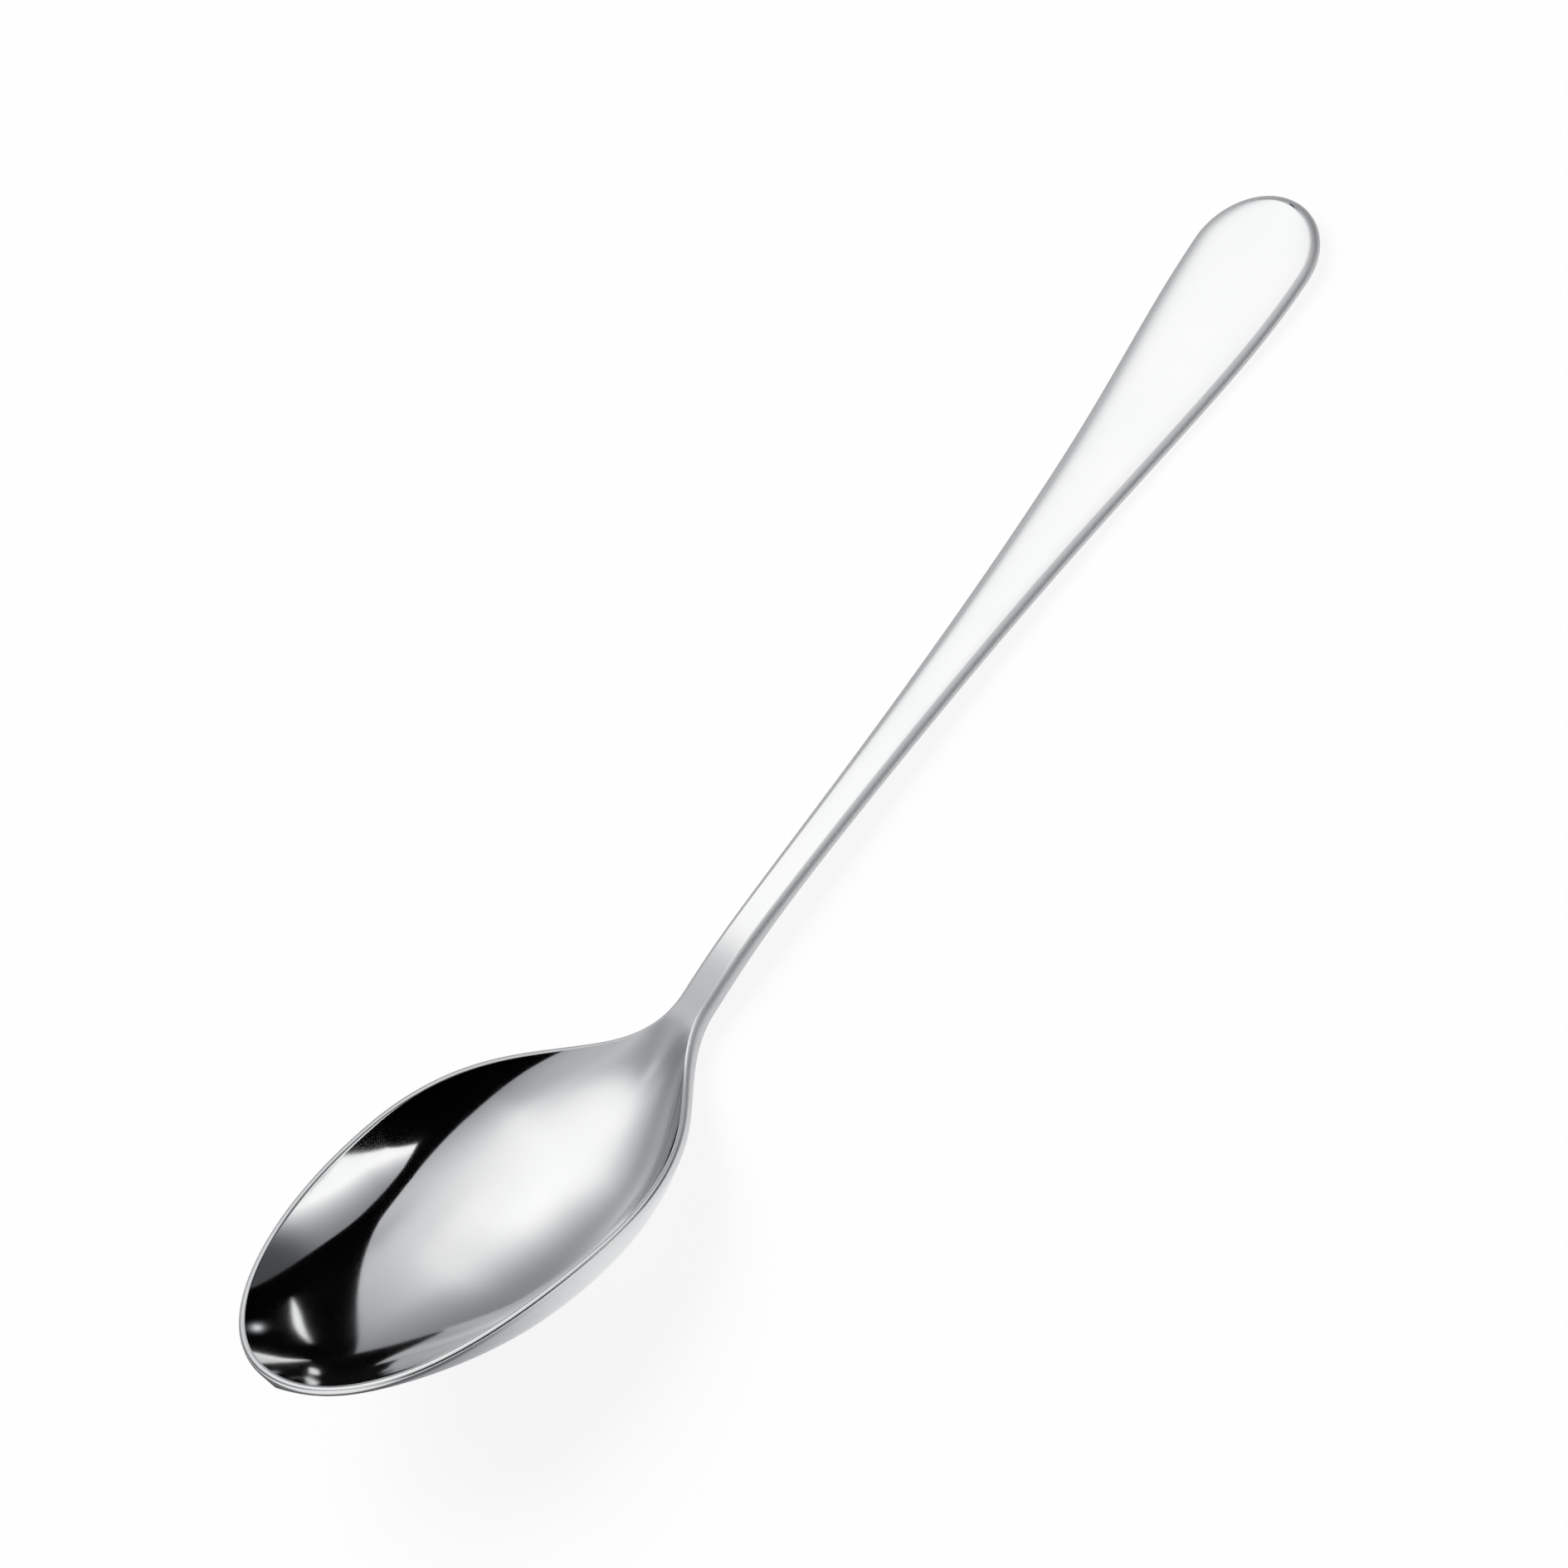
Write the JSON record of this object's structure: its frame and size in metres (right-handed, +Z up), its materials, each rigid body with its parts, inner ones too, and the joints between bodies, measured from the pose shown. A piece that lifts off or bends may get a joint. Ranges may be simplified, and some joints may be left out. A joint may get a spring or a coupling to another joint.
{
  "type": "serving spoon",
  "caption": "One-piece polished stainless steel serving spoon with a deep egg-shaped bowl, slim neck and flared, round-ended handle.",
  "frame": {"origin": "centre of the plan outline, on the table that the spoon lies on", "axes": "+X from the bowl's tip to the end of the handle, +Y to the left, +Z up"},
  "size_m": [0.2128, 0.0478, 0.0249],
  "materials": {
    "polished_steel": "mirror-polished stainless steel"
  },
  "bodies": {
    "root": {"spoon": "polished_steel"}
  },
  "joints": []
}
